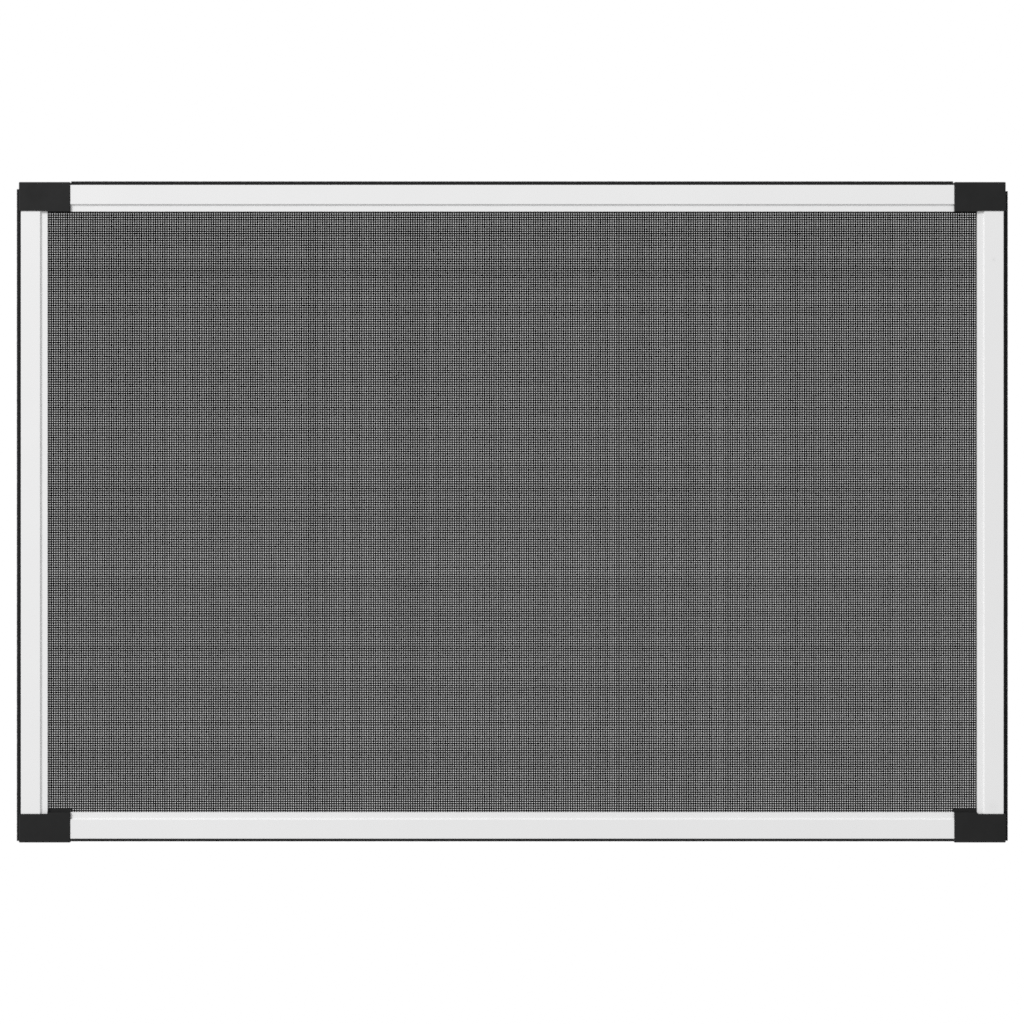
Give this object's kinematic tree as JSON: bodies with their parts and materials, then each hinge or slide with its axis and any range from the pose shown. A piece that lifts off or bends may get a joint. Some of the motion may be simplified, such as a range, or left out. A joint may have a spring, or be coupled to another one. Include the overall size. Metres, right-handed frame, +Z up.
{
  "type": "window screen frame",
  "caption": "Framed insect screen for a window: white aluminium rails with a stepped front, black corner blocks, fine black mesh and brush seals along the outer edges",
  "frame": {"origin": "middle of the width and depth, on the undersides of the lower corner blocks", "axes": "+X along the width, to the right seen from the front; +Z up; the front faces -Y"},
  "size_m": [0.7506, 0.011, 0.5003],
  "materials": {
    "white_coat": "white powder coat on aluminium, satin",
    "black_plastic": "black moulded plastic, fine grain",
    "black_mesh": "black coated yarn, plain weave",
    "seal_backing": "black woven strip",
    "seal_pile": "black pile fibres",
    "mesh_cord": "black, soft, fine ribs along it"
  },
  "bodies": {
    "root": {"top_rail": "white_coat", "bottom_rail": "white_coat", "left_stile": "white_coat", "right_stile": "white_coat", "corner_top_left": "black_plastic", "corner_top_right": "black_plastic", "corner_bottom_left": "black_plastic", "corner_bottom_right": "black_plastic", "insect_mesh": "black_mesh", "top_seal_backing": "seal_backing", "top_seal_pile": "seal_pile", "top_cord": "mesh_cord", "bottom_seal_backing": "seal_backing", "bottom_seal_pile": "seal_pile", "bottom_cord": "mesh_cord", "left_seal_backing": "seal_backing", "left_seal_pile": "seal_pile", "left_cord": "mesh_cord", "right_seal_backing": "seal_backing", "right_seal_pile": "seal_pile", "right_cord": "mesh_cord"}
  },
  "joints": []
}
